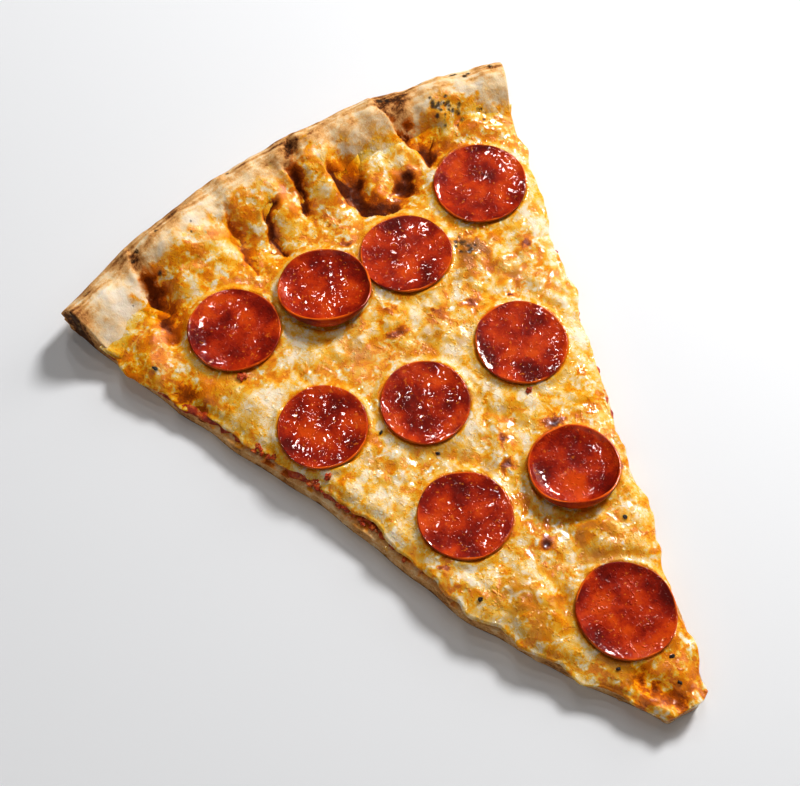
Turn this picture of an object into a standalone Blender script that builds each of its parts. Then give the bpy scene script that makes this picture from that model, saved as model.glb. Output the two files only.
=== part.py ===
"""A slice of pepperoni pizza: dough with a lumpy rim, sauce, cheese and ten pepperoni.

Metres, +Z up. The slice lies flat on z = 0 with its axis along +Y, from the tip to the rim.
The origin is on the underside, in the middle of the slice's outline.
"""

from math import atan2, cos, degrees, exp, hypot, pi, radians, sin, sqrt

import bmesh
import bpy
from mathutils import Vector, noise

# The pie, an eighteen-inch one, and the two cuts through it
PIE_RADIUS = 0.2286
HALF_ANGLE = radians(20.7)
PIE_CENTRE_X = -0.0021
PIE_CENTRE_Y = -0.1245
TIP_RADIUS = 0.0205
TIP_ROUNDING = 0.0030
EDGE_SKEW = 0.0016

# The layers, from the underside up, with the clearance that separate solids keep
GAP = 0.0003
DOUGH = 0.0054
TIP_THINNING = 0.0018
SAUCE = 0.0008
CHEESE = 0.0022
CHEESE_SHRINKAGE = 0.0042
SAUCE_SHRINKAGE = 0.0024

# The rim: its foot and crest are measured inwards from the outer edge
RIM_FOOT = 0.022
RIM_CREST = 0.009
RIM_HEIGHT = 0.0132
RIM_WAIST = 0.0056
CHEESE_EDGE = 0.0180

# Bubbled lobes of the rim: angle and half-width in degrees, reach past the foot and height
LOBES = (
    (-18.4, 4.4, 0.002, 0.0012),
    (-10.2, 4.0, 0.008, 0.0030),
    (-3.0, 2.9, 0.011, 0.0028),
    (2.4, 2.3, 0.012, 0.0034),
    (8.2, 3.4, 0.005, 0.0036),
    (17.6, 4.8, 0.008, 0.0026),
)

# Hollows between the lobes: angle in degrees, radius, half-width and depth
HOLLOWS = (
    (-3.9, 0.197, 0.0040, 0.0022),
    (5.2, 0.199, 0.0050, 0.0026),
    (8.8, 0.195, 0.0050, 0.0026),
)

# Browned blisters of the cheese: place, half-width and height
BLISTERS = (
    (0.0319, 0.037, 0.0060, 0.0016),
    (-0.0191, -0.055, 0.0085, 0.0018),
    (-0.0191, -0.067, 0.0060, 0.0016),
    (0.0079, -0.051, 0.0050, 0.0020),
    (0.0089, -0.060, 0.0060, 0.0012),
    (-0.0001, 0.031, 0.0045, 0.0012),
    (0.0019, -0.020, 0.0045, 0.0012),
    (-0.0331, -0.040, 0.0050, 0.0012),
    (0.0279, -0.035, 0.0060, 0.0014),
    (-0.0621, 0.041, 0.0060, -0.0012),
    (-0.0041, -0.099, 0.0050, -0.0012),
)

# Pepperoni: place, radius, and how far its edge has rolled up, at its least and its most.
# Each is flat in the middle, and the edge of a cupped one rolls over on the side of ROLL_SIDE.
PEPPERONI_THICKNESS = 0.0013
FLAT_SHARE = 0.55
ROLL_SIDE = radians(-118)
DISHED = (0.50, 0.62)
CUPPED = (0.95, 2.10)
PEPPERONI = (
    (0.0475, 0.0552, 0.0142, DISHED),
    (0.0146, 0.0472, 0.0135, DISHED),
    (-0.0121, 0.0504, 0.0134, CUPPED),
    (-0.0409, 0.0539, 0.0135, DISHED),
    (0.0254, 0.0041, 0.0134, DISHED),
    (-0.0084, 0.0039, 0.0128, DISHED),
    (-0.0364, 0.0136, 0.0127, DISHED),
    (0.0141, -0.0353, 0.0125, CUPPED),
    (-0.0187, -0.0300, 0.0129, DISHED),
    (0.0011, -0.0751, 0.0133, DISHED),
)

# The grid that all layers share, so that their faces stay parallel
COLUMNS = 20
BODY_ROWS = 24
RIM_ROWS = 6
SIDE_RINGS = ((0.0000, 1.00), (0.0004, 0.62), (0.0018, 0.26), (0.0045, 0.00))


def ripple(x, y, size, seed):
    """Smooth noise between about -1 and 1, with bumps of the given size."""
    return 1.6 * noise.noise(Vector((x / size, y / size, seed)))


def smooth_step(low, high, value):
    share = min(1.0, max(0.0, (value - low) / (high - low)))
    return share * share * (3.0 - 2.0 * share)


def bump(distance, half_width):
    return exp(-(distance / half_width) ** 2)


def polar(x, y):
    """Radius and angle of a place, from the centre of the pie and the slice's axis."""
    across = x - PIE_CENTRE_X
    along = y - PIE_CENTRE_Y
    return hypot(across, along), atan2(across, along)


def outer_radius(angle):
    return PIE_RADIUS + EDGE_SKEW * angle / HALF_ANGLE + 0.0007 * ripple(angle, 0.0, 0.09, 3.7)


def cheese_radius(angle):
    return outer_radius(angle) - CHEESE_EDGE + 0.0028 * ripple(angle, 0.0, 0.055, 8.2)


def left_bulge(radius):
    """How far the left cut swells out past a straight line."""
    swell = 0.0036 * bump(radius - 0.079, 0.024)
    pinch = 0.0042 * bump(radius - 0.018, 0.018)
    corner = 0.0026 * smooth_step(0.186, 0.226, radius)
    return swell - pinch - corner + 0.0007 * ripple(radius, 0.0, 0.014, 1.3)


def right_bulge(radius):
    return 0.0008 * ripple(radius, 0.0, 0.017, 5.9)


def shrinkage(radius, amount):
    """How far a layer has drawn back from the left cut, unevenly."""
    stretch = smooth_step(0.045, 0.075, radius) * (1.0 - smooth_step(0.150, 0.190, radius))
    return amount * stretch * (0.75 + 0.25 * ripple(radius, amount, 0.012, 9.3))


def place(across, along, amount=0.0):
    """A point of the outline's grid: across runs from -1 to 1, along from 0 (tip) to 1 (cheese) to 2 (rim)."""
    angle = across * HALF_ANGLE
    tip = TIP_RADIUS + TIP_ROUNDING * across ** 4 - 0.0008 * across
    if along <= 1.0:
        radius = tip + along * (cheese_radius(angle) - tip)
    else:
        radius = cheese_radius(angle) + (along - 1.0) * (outer_radius(angle) - cheese_radius(angle))
    side = right_bulge(radius) if across > 0 else shrinkage(radius, amount) - left_bulge(radius)
    x = PIE_CENTRE_X + radius * sin(angle) + side * abs(across) ** 3
    return x, PIE_CENTRE_Y + radius * cos(angle)


def lobe_share(degrees, centre, half_width):
    return exp(-((degrees - centre) / half_width) ** 4)


def hollows(x, y):
    total = 0.0
    for angle, radius, half_width, depth in HOLLOWS:
        centre_x = PIE_CENTRE_X + radius * sin(radians(angle))
        centre_y = PIE_CENTRE_Y + radius * cos(radians(angle))
        total += depth * bump(hypot(x - centre_x, y - centre_y), half_width)
    return total


def dough_top(x, y):
    """Height of the dough: nearly flat, then up the lobes of the rim and down to its waist."""
    radius, angle = polar(x, y)
    inwards = max(0.0, outer_radius(angle) - radius)
    flat = DOUGH + 0.0004 * ripple(x, y, 0.034, 0.4) - TIP_THINNING * (1.0 - smooth_step(0.02, 0.07, radius))
    crest = RIM_HEIGHT + 0.0009 * ripple(x, y, 0.017, 2.1)
    foot = RIM_FOOT
    for centre, half_width, reach, height in LOBES:
        share = lobe_share(degrees(angle) + 0.5 * ripple(x, y, 0.014, 6.6), centre, half_width)
        crest += height * share
        foot += reach * share
    if inwards < RIM_CREST:
        return RIM_WAIST + (crest - RIM_WAIST) * sqrt(1.0 - (1.0 - inwards / RIM_CREST) ** 2)
    fall = smooth_step(RIM_CREST, foot, inwards)
    return crest + (flat - crest) * fall - hollows(x, y) * (1.0 - 0.5 * fall)


def sauce_bottom(x, y):
    return dough_top(x, y) + GAP


def sauce_top(x, y, _=0.0):
    return sauce_bottom(x, y) + SAUCE


def cheese_bottom(x, y):
    return sauce_top(x, y) + GAP


def cheese_seat(x, y):
    """The cheese without its relief, as it is under the pepperoni."""
    radius, angle = polar(x, y)
    margin = cheese_radius(angle) - radius
    return cheese_bottom(x, y) + CHEESE * (0.35 + 0.65 * smooth_step(0.0, 0.012, margin))


def uncovered(x, y):
    """0 under a pepperoni and 1 clear of it."""
    share = 1.0
    for centre_x, centre_y, radius, _ in PEPPERONI:
        distance = hypot(x - centre_x, y - centre_y)
        share = min(share, smooth_step(radius + 0.0005, radius + 0.0050, distance))
    return share


def cheese_top(x, y, to_cut):
    relief = 0.0006 * ripple(x, y, 0.016, 4.4) + 0.0005 * ripple(x, y, 0.0075, 7.1)
    for centre_x, centre_y, half_width, height in BLISTERS:
        relief += height * bump(hypot(x - centre_x, y - centre_y), half_width)
    sag = 0.0009 * (1.0 - smooth_step(0.0, 0.006, to_cut))
    return max(cheese_seat(x, y) + relief * uncovered(x, y) - sag, cheese_bottom(x, y) + 0.0005)


def grid(rows):
    """A flat grid whose x is across, from -1 to 1, and whose y counts rows from the tip."""
    form = bmesh.new()
    bmesh.ops.create_grid(form, x_segments=COLUMNS, y_segments=rows, size=1.0)
    for vertex in form.verts:
        vertex.co.y = (vertex.co.y + 1.0) * rows / 2.0
    return form


def to_cut(across, x, y):
    """How far a place is from the nearer cut side."""
    return (1.0 - abs(across)) * HALF_ANGLE * polar(x, y)[0]


def along_of(row):
    if row <= BODY_ROWS:
        return row / BODY_ROWS
    return 1.0 + (row - BODY_ROWS) / RIM_ROWS


def refine(form, wanted):
    """Halves the cells whose vertices all pass the test."""
    faces = [face for face in form.faces if all(wanted(vertex.co) for vertex in face.verts)]
    edges = list(dict.fromkeys(edge for face in faces for edge in face.edges))
    bmesh.ops.subdivide_edges(form, edges=edges, cuts=1, use_grid_fill=True)


def material(name, colour, roughness):
    finish = bpy.data.materials.new(name)
    finish.use_nodes = True
    shader = finish.node_tree.nodes["Principled BSDF"]
    shader.inputs["Base Color"].default_value = (*colour, 1.0)
    shader.inputs["Roughness"].default_value = roughness
    shader.inputs["Metallic"].default_value = 0.0
    return finish


def add_object(name, form, finish, parts):
    mesh = bpy.data.meshes.new(name)
    form.to_mesh(mesh)
    form.free()
    mesh.shade_smooth()
    mesh.set_sharp_from_angle(angle=radians(40.0))
    mesh.materials.append(finish)
    item = bpy.data.objects.new(name, mesh)
    parts.objects.link(item)
    return item


def make_crust(parts):
    """The dough: its top is the grid, and rings lead from the grid's edge down to the flat underside."""
    form = grid(BODY_ROWS + RIM_ROWS)
    refine(form, lambda spot: spot.y > BODY_ROWS + 0.5)
    edges = [edge for edge in form.edges if edge.is_boundary]
    for _ in SIDE_RINGS[1:]:
        ring = bmesh.ops.extrude_edge_only(form, edges=edges)["geom"]
        for vertex in ring:
            if isinstance(vertex, bmesh.types.BMVert):
                vertex.co.z -= 1.0
        edges = [edge for edge in ring if isinstance(edge, bmesh.types.BMEdge)]
    bmesh.ops.contextual_create(form, geom=edges)
    bmesh.ops.recalc_face_normals(form, faces=form.faces[:])
    for vertex in form.verts:
        across, row, level = vertex.co
        x, y = place(across, along_of(row))
        height = dough_top(x, y)
        inset, share = SIDE_RINGS[round(-level)]
        pull = inset * max(0.0, along_of(row) - 1.0) ** 3
        radius, _ = polar(x, y)
        x -= pull * (x - PIE_CENTRE_X) / radius
        y -= pull * (y - PIE_CENTRE_Y) / radius
        vertex.co = (x, y, height * share)
    return add_object("crust", form, material("baked_dough", (0.80, 0.60, 0.36), 0.75), parts)


def make_layer(name, bottom, top, amount, finish, parts, fine=False):
    """A layer between two heights over the body of the slice."""
    form = grid(BODY_ROWS)
    lifted = bmesh.ops.extrude_face_region(form, geom=form.faces[:])["geom"]
    for vertex in lifted:
        if isinstance(vertex, bmesh.types.BMVert):
            vertex.co.z = 1.0
    if fine:
        refine(form, lambda spot: spot.z > 0.5)
    bmesh.ops.recalc_face_normals(form, faces=form.faces[:])
    for vertex in form.verts:
        across, row, level = vertex.co
        x, y = place(across, along_of(row), amount)
        vertex.co = (x, y, top(x, y, to_cut(across, x, y)) if level > 0.5 else bottom(x, y))
    return add_object(name, form, finish, parts)


def rolled(reach, radius, roll):
    """Section of a slice of sausage: distance from its middle and height, and the slope there."""
    flat = FLAT_SHARE * radius
    if reach <= FLAT_SHARE:
        return reach * radius, 0.0, 0.0
    bend = roll * (reach - FLAT_SHARE) / (1.0 - FLAT_SHARE)
    curve = (radius - flat) / sin(min(roll, pi / 2.0))
    return flat + curve * sin(bend), 0.62 * curve * (1.0 - cos(bend)), bend


def make_pepperoni(number, x, y, radius, rolls, finish, parts):
    """A round slice of sausage: a flattened ball, dished and laid on the cheese."""
    form = bmesh.new()
    bmesh.ops.create_uvsphere(form, u_segments=18, v_segments=6, radius=1.0)
    for vertex in form.verts:
        turn = atan2(vertex.co.y, vertex.co.x)
        reach = hypot(vertex.co.x, vertex.co.y) ** 0.35
        level = abs(vertex.co.z) ** 0.4 * (1.0 if vertex.co.z > 0 else -1.0)
        least, most = rolls
        roll = least + (most - least) * (0.5 + 0.5 * cos(turn - ROLL_SIDE)) ** 2
        outline = radius * (1.0 + 0.015 * sin(2.0 * turn + number) + 0.008 * sin(5.0 * turn + 2.0 * number))
        distance, height, bend = rolled(reach, outline, roll)
        distance -= level * PEPPERONI_THICKNESS / 2.0 * sin(bend)
        spot_x = x + distance * cos(turn)
        spot_y = y + distance * sin(turn)
        lift = GAP + PEPPERONI_THICKNESS / 2.0 * (1.0 + level * cos(bend)) + height
        vertex.co = (spot_x, spot_y, cheese_seat(spot_x, spot_y) + lift)
    return add_object(f"pepperoni_{number:02d}", form, finish, parts)


def main():
    for item in list(bpy.data.objects):
        bpy.data.objects.remove(item, do_unlink=True)
    parts = bpy.data.collections.new("pepperoni_pizza_slice")
    bpy.context.scene.collection.children.link(parts)
    make_crust(parts)
    sauce = material("tomato_sauce", (0.52, 0.08, 0.02), 0.45)
    make_layer("sauce", sauce_bottom, sauce_top, SAUCE_SHRINKAGE, sauce, parts)
    cheese = material("melted_cheese", (0.86, 0.58, 0.24), 0.35)
    make_layer("cheese", cheese_bottom, cheese_top, CHEESE_SHRINKAGE, cheese, parts, fine=True)
    meat = material("pepperoni_meat", (0.50, 0.05, 0.015), 0.35)
    for number, (x, y, radius, rolls) in enumerate(PEPPERONI, start=1):
        make_pepperoni(number, x, y, radius, rolls, meat, parts)


main()
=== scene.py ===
"""Looks of a slice of pepperoni pizza: browned dough, sauce, melted cheese and ten pepperoni.

Metres, +Z up. The slice lies flat on z = 0 with its axis along +Y, from the tip to the rim.
Every surface is a fine mesh of the form that its plain solid has, with finer relief.
"""

import random
from math import cos, pi, radians, sin, sqrt

import bmesh
import bpy
import numpy as np
from mathutils import Matrix, Vector, noise


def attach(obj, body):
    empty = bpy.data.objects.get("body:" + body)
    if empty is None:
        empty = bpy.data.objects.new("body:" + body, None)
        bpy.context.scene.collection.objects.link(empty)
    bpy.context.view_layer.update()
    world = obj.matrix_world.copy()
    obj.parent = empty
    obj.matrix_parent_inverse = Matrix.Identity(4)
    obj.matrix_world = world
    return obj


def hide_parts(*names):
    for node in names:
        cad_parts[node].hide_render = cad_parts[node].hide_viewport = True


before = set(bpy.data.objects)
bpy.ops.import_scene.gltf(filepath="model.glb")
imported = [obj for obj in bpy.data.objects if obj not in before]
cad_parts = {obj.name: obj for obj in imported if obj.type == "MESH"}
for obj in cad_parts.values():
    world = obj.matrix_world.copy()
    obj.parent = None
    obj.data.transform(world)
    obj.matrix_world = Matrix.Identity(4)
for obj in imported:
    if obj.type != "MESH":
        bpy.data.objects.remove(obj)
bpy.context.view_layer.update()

# The pie, an eighteen-inch one, and the two cuts through it
PIE_RADIUS = 0.2286
HALF_ANGLE = radians(20.7)
PIE_CENTRE_X = -0.0021
PIE_CENTRE_Y = -0.1245
TIP_RADIUS = 0.0205
TIP_ROUNDING = 0.0030
TIP_SKEW = 0.0008
EDGE_SKEW = 0.0016

# The layers, from the underside up
GAP = 0.0003
DOUGH = 0.0054
TIP_THINNING = 0.0018
SAUCE = 0.0008
CHEESE = 0.0022
CHEESE_SHRINKAGE = 0.0042
SAUCE_SHRINKAGE = 0.0024

# The rim: its foot and crest are measured inwards from the outer edge
RIM_FOOT = 0.022
RIM_CREST = 0.009
RIM_HEIGHT = 0.0132
RIM_WAIST = 0.0056
CHEESE_EDGE = 0.0180

# Bubbled lobes of the rim: angle and half-width in degrees, reach past the foot and height
LOBES = (
    (-18.4, 4.4, 0.002, 0.0012),
    (-10.2, 4.0, 0.008, 0.0030),
    (-3.0, 2.9, 0.011, 0.0028),
    (2.4, 2.3, 0.012, 0.0034),
    (8.2, 3.4, 0.005, 0.0036),
    (17.6, 4.8, 0.008, 0.0026),
)

# Hollows between the lobes: angle in degrees, radius, half-width and depth
HOLLOWS = (
    (-3.9, 0.197, 0.0040, 0.0022),
    (5.2, 0.199, 0.0050, 0.0026),
    (8.8, 0.195, 0.0050, 0.0026),
)

# Folds where one lobe leans over the next: radii and angles along each, depth and half-width.
# A fold is steep on its left and slopes up gently to its right, where it is in shade, and that shade is
# painted into the colour.
FOLDS = (
    (((0.2211, 1.6), (0.2162, 0.9), (0.2067, 0.4), (0.2021, -0.3)), 0.0020, 0.0040),
    (((0.2193, 10.2), (0.2132, 10.8), (0.2041, 11.6), (0.1997, 12.1)), 0.0022, 0.0066),
    (((0.2180, -14.0), (0.2125, -14.6), (0.2062, -15.2), (0.2004, -15.7)), 0.0018, 0.0056),
    (((0.2120, -5.7), (0.2048, -6.3), (0.1988, -6.8), (0.1941, -6.8)), 0.0014, 0.0034),
    (((0.2074, -2.3), (0.2018, -3.6), (0.1966, -4.2), (0.1930, -3.8)), 0.0020, 0.0026),
    (((0.2056, 3.9), (0.1997, 3.7), (0.1919, 4.5), (0.1899, 6.2)), 0.0026, 0.0068),
)

# Browned blisters of the cheese: place, half-width and height
BLISTERS = (
    (0.0319, 0.037, 0.0060, 0.0016),
    (-0.0191, -0.055, 0.0085, 0.0018),
    (-0.0191, -0.067, 0.0060, 0.0016),
    (0.0079, -0.051, 0.0050, 0.0020),
    (0.0089, -0.060, 0.0060, 0.0012),
    (-0.0001, 0.031, 0.0045, 0.0012),
    (0.0019, -0.020, 0.0045, 0.0012),
    (-0.0331, -0.040, 0.0050, 0.0012),
    (0.0279, -0.035, 0.0060, 0.0014),
    (-0.0621, 0.041, 0.0060, -0.0012),
    (-0.0041, -0.099, 0.0050, -0.0012),
)

# Smaller swellings and dips of the cheese, the same four values
SWELLINGS = (
    (-0.0632, 0.0635, 0.0048, 0.0016),
    (-0.0655, 0.0555, 0.0042, 0.0013),
    (-0.0572, 0.0430, 0.0040, 0.0014),
    (-0.0560, 0.0610, 0.0040, -0.0014),
    (-0.0480, 0.0300, 0.0060, 0.0009),
    (-0.0140, -0.0640, 0.0026, 0.0014),
    (-0.0160, -0.0590, 0.0024, 0.0012),
    (-0.0101, -0.0655, 0.0030, -0.0010),
    (-0.0060, -0.0930, 0.0034, -0.0010),
    (-0.0082, -0.0970, 0.0026, 0.0012),
    (-0.0058, -0.1010, 0.0024, 0.0012),
    (0.0020, -0.0935, 0.0050, 0.0010),
    (-0.0340, 0.0410, 0.0035, 0.0008),
    (0.0340, -0.0180, 0.0050, 0.0008),
    (-0.0230, -0.0050, 0.0030, 0.0008),
    (-0.0385, -0.0230, 0.0048, 0.0009),
)

# Dips of the rim, the same four values
DIMPLES = (
    (0.0163, 0.0774, 0.0042, 0.0014),
    (0.0280, 0.0684, 0.0046, 0.0024),
    (0.0315, 0.0715, 0.0034, 0.0012),
    (0.0378, 0.0950, 0.0020, 0.0010),
    (0.0442, 0.0775, 0.0044, 0.0012),
    (-0.0530, 0.0790, 0.0036, 0.0010),
)

# Lobes and knobs that stand up between them
HUMPS = (
    (-0.0310, 0.0814, 0.0085, 0.0016),
    (-0.0062, 0.0817, 0.0050, 0.0012),
    (0.0085, 0.0862, 0.0060, 0.0014),
    (0.0067, 0.0795, 0.0036, 0.0010),
    (0.0207, 0.0713, 0.0022, 0.0020),
    (0.0370, 0.0790, 0.0040, 0.0010),
    (0.0545, 0.0760, 0.0070, 0.0012),
    (-0.0600, 0.0690, 0.0050, 0.0012),
)

# Marks on the cheese, each a place and half-width: round brown spots with a wet middle
SPOTS = (
    (-0.0021, 0.0279, 0.0030),
    (0.0011, 0.0342, 0.0019),
    (0.0101, 0.0272, 0.0016),
    (0.0208, 0.0240, 0.0027),
    (0.0325, 0.0201, 0.0015),
    (0.0038, -0.0171, 0.0022),
    (0.0002, -0.0230, 0.0028),
    (0.0472, 0.0306, 0.0019),
    (0.0018, 0.0598, 0.0017),
    (-0.0049, -0.0490, 0.0024),
    (-0.0335, -0.0385, 0.0036),
    (0.0184, -0.0218, 0.0028),
    (0.0265, -0.0420, 0.0018),
    (0.0325, 0.0385, 0.0042),
)

# Soft olive-brown patches
OLIVE_PATCHES = (
    (0.0057, 0.0218, 0.0030),
    (0.0120, 0.0147, 0.0022),
    (-0.0145, 0.0308, 0.0028),
    (-0.0150, 0.0270, 0.0022),
    (0.0097, -0.0023, 0.0018),
    (0.0091, -0.0095, 0.0015),
    (0.0046, -0.0026, 0.0018),
    (-0.0042, 0.0187, 0.0016),
    (-0.0119, -0.0108, 0.0040),
    (-0.0081, -0.0151, 0.0026),
    (0.0229, 0.0320, 0.0022),
    (0.0258, 0.0300, 0.0018),
    (0.0318, 0.0378, 0.0062),
    (0.0367, 0.0284, 0.0022),
    (0.0383, 0.0245, 0.0018),
    (-0.0311, -0.0021, 0.0024),
    (-0.0050, -0.0216, 0.0024),
    (0.0086, -0.0513, 0.0042),
    (0.0080, -0.0604, 0.0050),
    (0.0027, -0.0576, 0.0040),
    (-0.0191, -0.0550, 0.0050),
    (-0.0185, -0.0660, 0.0040),
    (-0.0101, -0.0650, 0.0040),
    (-0.0098, -0.0859, 0.0040),
)

# Patches of orange oil
OILY = (
    (-0.0163, 0.0192, 0.0028),
    (-0.0215, 0.0124, 0.0024),
    (0.0010, 0.0175, 0.0018),
    (-0.0095, -0.0050, 0.0024),
    (-0.0244, -0.0095, 0.0024),
    (0.0432, 0.0389, 0.0024),
    (0.0435, 0.0251, 0.0022),
    (0.0450, 0.0186, 0.0026),
    (-0.0029, -0.0605, 0.0034),
    (0.0639, 0.0622, 0.0034),
    (0.0634, 0.0695, 0.0030),
    (-0.0560, 0.0454, 0.0075),
    (-0.0600, 0.0530, 0.0060),
    (-0.0430, 0.0380, 0.0050),
    (-0.0361, 0.0396, 0.0036),
    (0.0238, -0.0350, 0.0055),
    (0.0198, -0.0467, 0.0050),
    (0.0240, -0.0278, 0.0050),
    (0.0098, -0.0573, 0.0050),
    (-0.0150, -0.0590, 0.0040),
    (-0.0201, -0.0700, 0.0055),
    (-0.0141, -0.0835, 0.0055),
    (0.0000, -0.0895, 0.0085),
    (-0.0310, -0.0360, 0.0040),
)

# Patches of white cheese
WHITE = (
    (-0.0258, 0.0345, 0.0030),
    (-0.0193, 0.0313, 0.0028),
    (0.0057, 0.0290, 0.0020),
    (0.0074, 0.0132, 0.0032),
    (0.0166, -0.0149, 0.0024),
    (0.0426, 0.0329, 0.0028),
    (-0.0230, -0.0050, 0.0026),
    (-0.0044, -0.0122, 0.0024),
    (-0.0503, 0.0301, 0.0062),
    (-0.0339, -0.0137, 0.0050),
    (-0.0381, -0.0247, 0.0056),
    (-0.0300, -0.0590, 0.0050),
    (0.0430, 0.0000, 0.0060),
    (0.0300, -0.0500, 0.0050),
    (-0.0285, 0.0780, 0.0050),
    (-0.0435, 0.0722, 0.0026),
    (-0.0100, 0.0750, 0.0034),
    (0.0062, 0.0795, 0.0030),
    (0.0285, 0.0825, 0.0045),
    (0.0125, 0.0880, 0.0030),
    (0.0330, 0.0770, 0.0024),
    (0.0500, 0.0790, 0.0030),
)

# Paler patches of the bare dough: partly flour, partly painted light
FLOUR_AND_LIGHT = (
    (-0.0680, 0.0800, 0.0090),
    (-0.0270, 0.0940, 0.0065),
    (0.0630, 0.0880, 0.0070),
)

# Deep folds and hollows, darkened with painted shade
SHADED_HOLLOWS = (
    (-0.0530, 0.0709, 0.0028),
    (-0.0551, 0.0623, 0.0036),
    (-0.0628, 0.0452, 0.0046),
    (-0.0630, 0.0395, 0.0038),
    (-0.0101, -0.0628, 0.0022),
    (-0.0062, -0.0915, 0.0028),
    (-0.0045, -0.0950, 0.0030),
    (-0.0030, -0.0985, 0.0028),
    (-0.0016, -0.1015, 0.0022),
    (0.0086, -0.0513, 0.0026),
)

# Black scorched specks of the rim
SCORCHED = (
    (0.0378, 0.0957, 0.0016),
    (0.0395, 0.0945, 0.0011),
    (0.0650, 0.0886, 0.0012),
    (0.0668, 0.0888, 0.0010),
    (0.0738, 0.0870, 0.0015),
    (-0.0440, 0.0924, 0.0008),
    (-0.0354, 0.0866, 0.0006),
    (-0.0338, 0.0895, 0.0006),
    (-0.0495, 0.0816, 0.0009),
    (-0.0545, 0.0885, 0.0012),
    (-0.0520, 0.0900, 0.0010),
    (-0.0156, 0.0995, 0.0008),
    (-0.0611, 0.0776, 0.0006),
)

# Clusters of smaller ones: place and spread of the middle, count, and size of a speck
SCORCHED_CLUSTERS = (
    (0.0530, 0.0838, 0.0023, 15, 0.00090),
    (0.0553, 0.0800, 0.0020, 9, 0.00085),
    (0.0611, 0.0770, 0.0014, 6, 0.00070),
    (0.0316, 0.0398, 0.0016, 10, 0.00095),
    (0.0332, 0.0360, 0.0016, 4, 0.00070),
)

# Brown stains of the rim's outer face
BROWNED = (
    (-0.0371, 0.0962, 0.0036),
    (-0.0545, 0.0890, 0.0036),
    (0.0048, 0.0985, 0.0034),
    (0.0385, 0.0950, 0.0026),
    (0.0430, 0.0915, 0.0036),
    (0.0255, 0.0929, 0.0013),
    (0.0654, 0.0884, 0.0024),
    (-0.0760, 0.0800, 0.0040),
    (0.0540, 0.0825, 0.0040),
)

# A thin scorched line along the rim: radius and angle of its points
SCORCHED_LINE = ((0.2275, 12.4), (0.2265, 14.4), (0.2254, 16.9), (0.2240, 18.2))

# How far in from the outer edge the cheesy coat of the rim ends, by angle in degrees
COAT_EDGE = (
    (-20.7, 0.0240), (-18.9, 0.0225), (-16.4, 0.0175), (-13.7, 0.0118), (-12.5, 0.0148),
    (-10.4, 0.0132), (-8.6, 0.0128), (-7.2, 0.0148), (-5.4, 0.0137), (-4.2, 0.0107),
    (-2.4, 0.0150), (-1.1, 0.0133), (0.3, 0.0162), (1.8, 0.0119), (3.5, 0.0108),
    (4.9, 0.0137), (5.5, 0.0158), (6.6, 0.0180), (9.0, 0.0168), (10.5, 0.0149),
    (12.6, 0.0167), (14.7, 0.0106), (16.4, 0.0113), (17.4, 0.0150), (18.2, 0.0180), (20.7, 0.0200),
)

# Pepper specks that lie on the cheese: place and size
SPECKS = (
    (0.0172, -0.0544, 0.0006),
    (0.0039, -0.0911, 0.0007),
    (-0.0098, -0.0859, 0.0006),
    (0.0013, -0.0975, 0.0006),
    (-0.0140, -0.0104, 0.0006),
    (-0.0235, 0.0037, 0.0006),
    (-0.0288, -0.0512, 0.0006),
    (-0.0660, 0.0562, 0.0007),
)

# Clusters of tomato pulp at the left cut: radius of the middle, spread along the cut, how far in, count,
# size of a lump and its least height over the dough
PULP = (
    (0.1510, 0.0034, 0.0030, 10, 0.0011, 0.0011),
    (0.1330, 0.0030, 0.0030, 16, 0.0014, 0.0011),
    (0.1250, 0.0024, 0.0028, 8, 0.0011, 0.0009),
    (0.1160, 0.0034, 0.0026, 9, 0.0009, 0.0005),
    (0.1060, 0.0040, 0.0026, 9, 0.0009, 0.0004),
)

# How far in from the cut a lump lies at least, the scatter of that, and the height of a lump by its width
LEAST_INSET = 0.0012
INSET_SCATTER = 0.0008
LUMP_FLATNESS = 0.6

# Drops of pulp that come out beside three pepperoni: place and size
DROPS = (
    (-0.0472, 0.0403, 0.0012),
    (-0.0461, 0.0399, 0.0009),
    (0.0183, -0.0092, 0.0010),
    (-0.0432, 0.0006, 0.0012),
)

# Pepperoni: thickness, how much thinner the edge is, share of the radius that stays flat, height of the
# rolled edge against a round one, and the side where it rolls up most
PEPPERONI_THICKNESS = 0.0013
EDGE_THINNING = 0.25
FLAT_SHARE = 0.55
ROLL_HEIGHT = 0.62
ROLL_SIDE = radians(-118)

# How far the edge has rolled up, at its least and its most
DISHED = (0.50, 0.62)
CUPPED = (0.95, 2.10)

# Powers that spread a ball's points outwards and press it to an even thickness
BALL_SPREAD = 0.8
BALL_FLATTENING = 0.28

# Place, radius and roll of each pepperoni
PEPPERONI = (
    (0.0475, 0.0552, 0.0142, DISHED),
    (0.0146, 0.0472, 0.0135, DISHED),
    (-0.0121, 0.0504, 0.0134, CUPPED),
    (-0.0409, 0.0539, 0.0135, DISHED),
    (0.0254, 0.0041, 0.0134, DISHED),
    (-0.0084, 0.0039, 0.0128, DISHED),
    (-0.0364, 0.0136, 0.0127, DISHED),
    (0.0141, -0.0353, 0.0125, CUPPED),
    (-0.0187, -0.0300, 0.0129, DISHED),
    (0.0011, -0.0751, 0.0133, DISHED),
)

# Tones on the cheese's colour scale, from cream (0) through yellow and orange to dark brown (1)
PLAIN_TONE = 0.24
WHITE_TONE = 0.03
EDGE_TONE = 0.08
PALE_RING_TONE = 0.12
SEAM_TONE = 0.44
OILY_TONE = 0.57
# Painted shade at the edge of a fold
FOLD_EDGE_SHADE_TONE = 0.64
OIL_RING_TONE = 0.66
# Painted shade in deep folds and hollows
HOLLOW_SHADE_TONE = 0.84
# Painted shade at the bottom of a fold
FOLD_SHADE_TONE = 0.95

# Meshes of the layers: columns and rows, rings down the side, rings below and how far in each of those runs
CHEESE_GRID = (250, 330)
SAUCE_GRID = (120, 200)
SIDE_RINGS = 4
LOWER_RINGS = 3
LOWER_INSET = 0.045

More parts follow.
